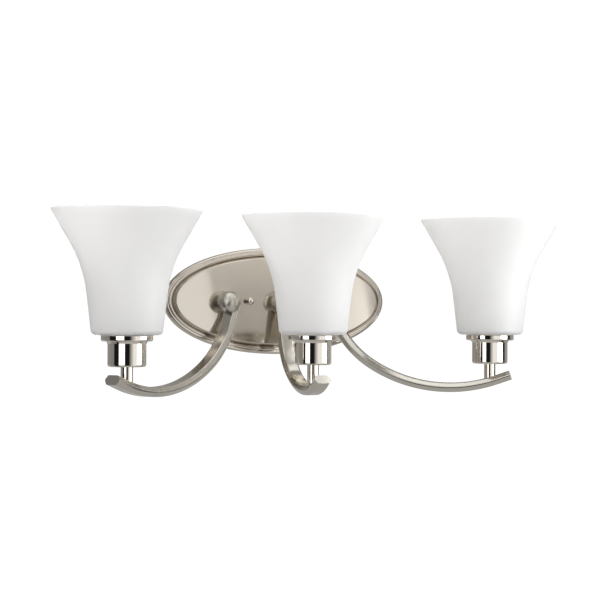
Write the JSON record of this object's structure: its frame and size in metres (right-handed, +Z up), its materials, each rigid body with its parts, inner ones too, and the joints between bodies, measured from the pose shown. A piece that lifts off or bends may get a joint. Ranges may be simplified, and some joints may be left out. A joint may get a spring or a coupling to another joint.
{
  "type": "vanity light bar",
  "caption": "Wall vanity light bar: oval backplate with curved flat-sided arms that carry polished socket cups and flared opal glass shades, open upwards",
  "frame": {"origin": "centre of the backplate's back plane, where it meets the wall", "axes": "X runs along the wall to the right as seen from the room, +Z is up, +Y points into the wall and the fixture stands out towards -Y"},
  "size_m": [0.5986, 0.2073, 0.2027],
  "materials": {
    "brushed_nickel_plate": "satin brushed nickel plating over stamped steel",
    "brushed_nickel_arm": "satin brushed nickel plating along the arm's length",
    "brushed_nickel_ball": "satin nickel plating on a turned ball",
    "polished_nickel": "bright polished nickel plating",
    "polished_nickel_nut": "bright polished nickel plating on small ball nuts",
    "zinc_steel": "bright zinc plated steel hardware",
    "green_screw": "green dyed zinc plated earthing screw",
    "white_porcelain": "white glazed porcelain",
    "brass_contact": "rolled brass, unpolished",
    "white_ring": "moulded white phenolic",
    "opal_glass": "white opal glass with an acid-etched outer face"
  },
  "bodies": {
    "fixture": {"backplate": "brushed_nickel_plate", "crossbar": "zinc_steel", "mounting_studs": "zinc_steel", "stud_lock_nuts": "zinc_steel", "ground_screw": "green_screw", "hub_nipples": "zinc_steel", "hub_washers": "zinc_steel", "hub_hex_nuts": "zinc_steel", "lamp_nipples": "zinc_steel", "lamp_nipple_nuts": "zinc_steel", "arm_left": "brushed_nickel_arm", "hub_ball_left": "brushed_nickel_ball", "stem_left": "polished_nickel", "socket_cup_left": "polished_nickel", "glass_seat_left": "polished_nickel", "lampholder_left": "white_porcelain", "screw_shell_left": "brass_contact", "centre_contact_left": "brass_contact", "shade_left": "opal_glass", "arm_middle": "brushed_nickel_arm", "hub_ball_middle": "brushed_nickel_ball", "stem_middle": "polished_nickel", "socket_cup_middle": "polished_nickel", "glass_seat_middle": "polished_nickel", "lampholder_middle": "white_porcelain", "screw_shell_middle": "brass_contact", "centre_contact_middle": "brass_contact", "shade_middle": "opal_glass", "arm_right": "brushed_nickel_arm", "hub_ball_right": "brushed_nickel_ball", "stem_right": "polished_nickel", "socket_cup_right": "polished_nickel", "glass_seat_right": "polished_nickel", "lampholder_right": "white_porcelain", "screw_shell_right": "brass_contact", "centre_contact_right": "brass_contact", "shade_right": "opal_glass"},
    "cap_nut_left": {"cap_nut_left": "polished_nickel_nut"},
    "cap_nut_right": {"cap_nut_right": "polished_nickel_nut"},
    "retaining_ring_left": {"retaining_ring_left": "white_ring"},
    "retaining_ring_middle": {"retaining_ring_middle": "white_ring"},
    "retaining_ring_right": {"retaining_ring_right": "white_ring"}
  },
  "joints": [
    {"name": "cap_nut_left_turn", "type": "hinge", "parent": "fixture", "child": "cap_nut_left", "pos_m": [-0.0381, -0.0191, 0], "axis": [0, -1, 0], "continuous": true},
    {"name": "cap_nut_right_turn", "type": "hinge", "parent": "fixture", "child": "cap_nut_right", "pos_m": [0.0381, -0.0191, 0], "axis": [0, -1, 0], "continuous": true},
    {"name": "retaining_ring_left_turn", "type": "hinge", "parent": "fixture", "child": "retaining_ring_left", "pos_m": [-0.219, -0.127, -0.0307], "axis": [0, 0, 1], "continuous": true},
    {"name": "retaining_ring_middle_turn", "type": "hinge", "parent": "fixture", "child": "retaining_ring_middle", "pos_m": [0, -0.116, -0.0307], "axis": [0, 0, 1], "continuous": true},
    {"name": "retaining_ring_right_turn", "type": "hinge", "parent": "fixture", "child": "retaining_ring_right", "pos_m": [0.219, -0.127, -0.0307], "axis": [0, 0, 1], "continuous": true}
  ]
}
